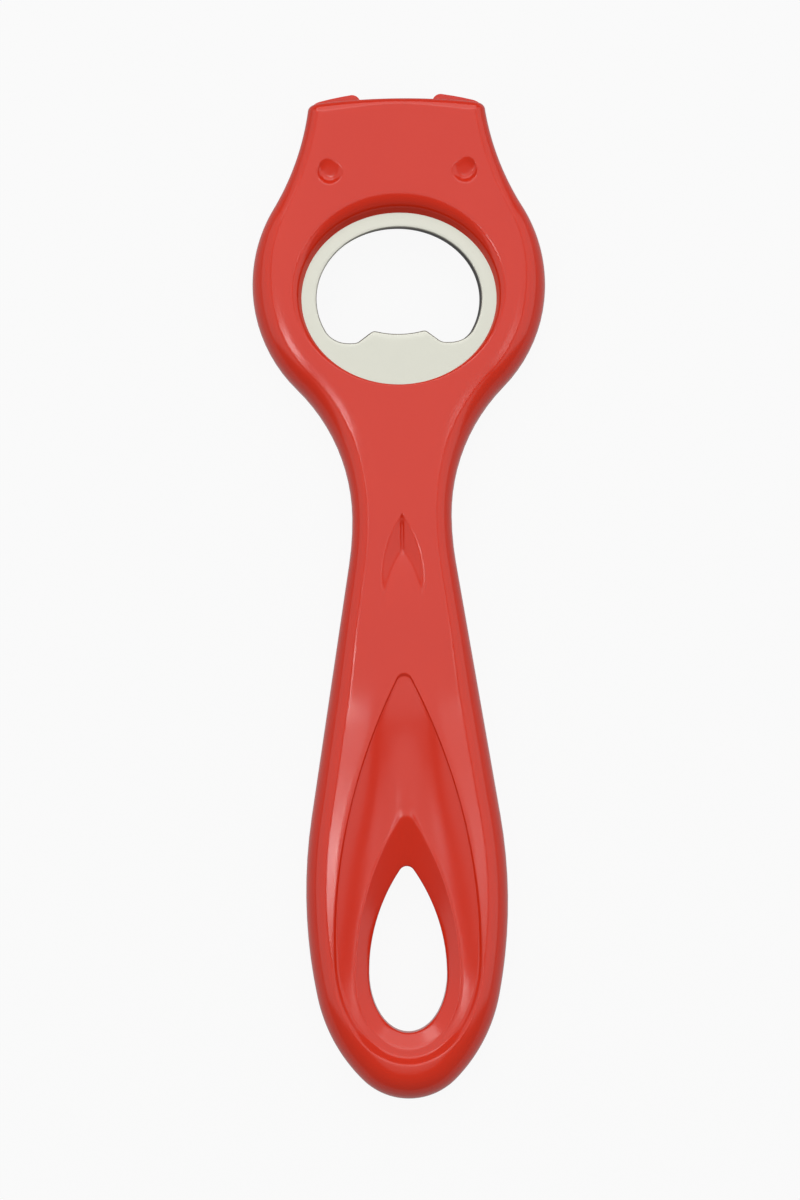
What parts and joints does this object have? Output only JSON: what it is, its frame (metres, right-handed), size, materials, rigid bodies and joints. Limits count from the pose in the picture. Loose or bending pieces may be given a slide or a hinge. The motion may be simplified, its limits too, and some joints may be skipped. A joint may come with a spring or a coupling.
{
  "type": "manual bottle and can opener",
  "caption": "Hand-held opener: moulded handle with a teardrop hanging hole, a round head that holds a steel crown-cap lifter, and a notched end for prising up ring pulls.",
  "frame": {"origin": "middle of the tool's box, on the flat back that it lies on", "axes": "+Y along the tool towards the head, +Z out of the face, +X to the right as the face is seen"},
  "size_m": [0.0568, 0.195, 0.0118],
  "materials": {
    "red_shell": "gloss moulded",
    "steel": "stamped, satin"
  },
  "bodies": {
    "root": {"front_shell": "red_shell", "rear_shell": "red_shell", "cap_lifter": "steel"}
  },
  "joints": []
}
